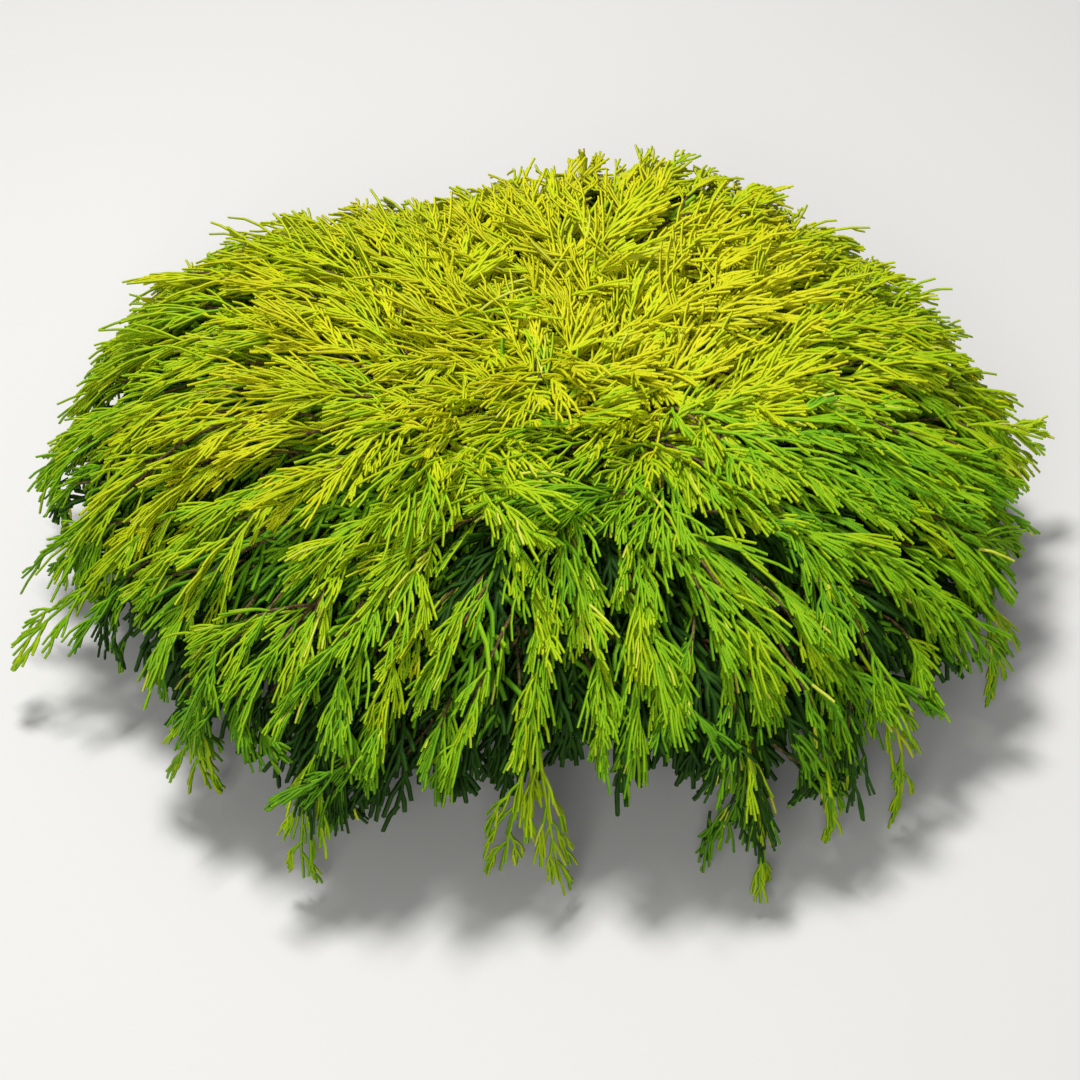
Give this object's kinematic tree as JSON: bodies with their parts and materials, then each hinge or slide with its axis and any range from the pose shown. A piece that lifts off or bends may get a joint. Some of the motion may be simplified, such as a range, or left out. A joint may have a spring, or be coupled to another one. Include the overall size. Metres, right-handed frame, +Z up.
{
  "type": "kings gold sawara cypress shrub",
  "caption": "Low, wide mop of gold thread foliage on a short flared stem, its cords arching out over the top and hanging past the rim.",
  "frame": {"origin": "middle of the flat cut under the trunk, at ground level", "axes": "+Z up out of the ground, -Y towards the side the plant is seen from, +X to the right"},
  "size_m": [0.8642, 0.7544, 0.2973],
  "materials": {
    "bark": "rough, stringy bark",
    "foliage_gold": "soft scaly thread foliage, yellow-gold",
    "foliage_green": "soft scaly thread foliage, lime to mid green"
  },
  "bodies": {
    "root": {"trunk": "bark", "foliage_top": "foliage_gold", "bough_mid_01": "bark", "foliage_mid_01": "foliage_gold", "bough_mid_02": "bark", "foliage_mid_02": "foliage_gold", "bough_mid_03": "bark", "foliage_mid_03": "foliage_gold", "bough_mid_04": "bark", "foliage_mid_04": "foliage_gold", "bough_mid_05": "bark", "foliage_mid_05": "foliage_gold", "bough_mid_06": "bark", "foliage_mid_06": "foliage_gold", "bough_rim_01": "bark", "foliage_rim_01": "foliage_green", "bough_rim_02": "bark", "foliage_rim_02": "foliage_green", "bough_rim_03": "bark", "foliage_rim_03": "foliage_green", "bough_rim_04": "bark", "foliage_rim_04": "foliage_green", "bough_rim_05": "bark", "foliage_rim_05": "foliage_green", "bough_rim_06": "bark", "foliage_rim_06": "foliage_green", "bough_rim_07": "bark", "foliage_rim_07": "foliage_green", "bough_rim_08": "bark", "foliage_rim_08": "foliage_green", "bough_rim_09": "bark", "foliage_rim_09": "foliage_green", "bough_rim_10": "bark", "foliage_rim_10": "foliage_green", "bough_rim_11": "bark", "foliage_rim_11": "foliage_green", "bough_rim_12": "bark", "foliage_rim_12": "foliage_green"}
  },
  "joints": []
}
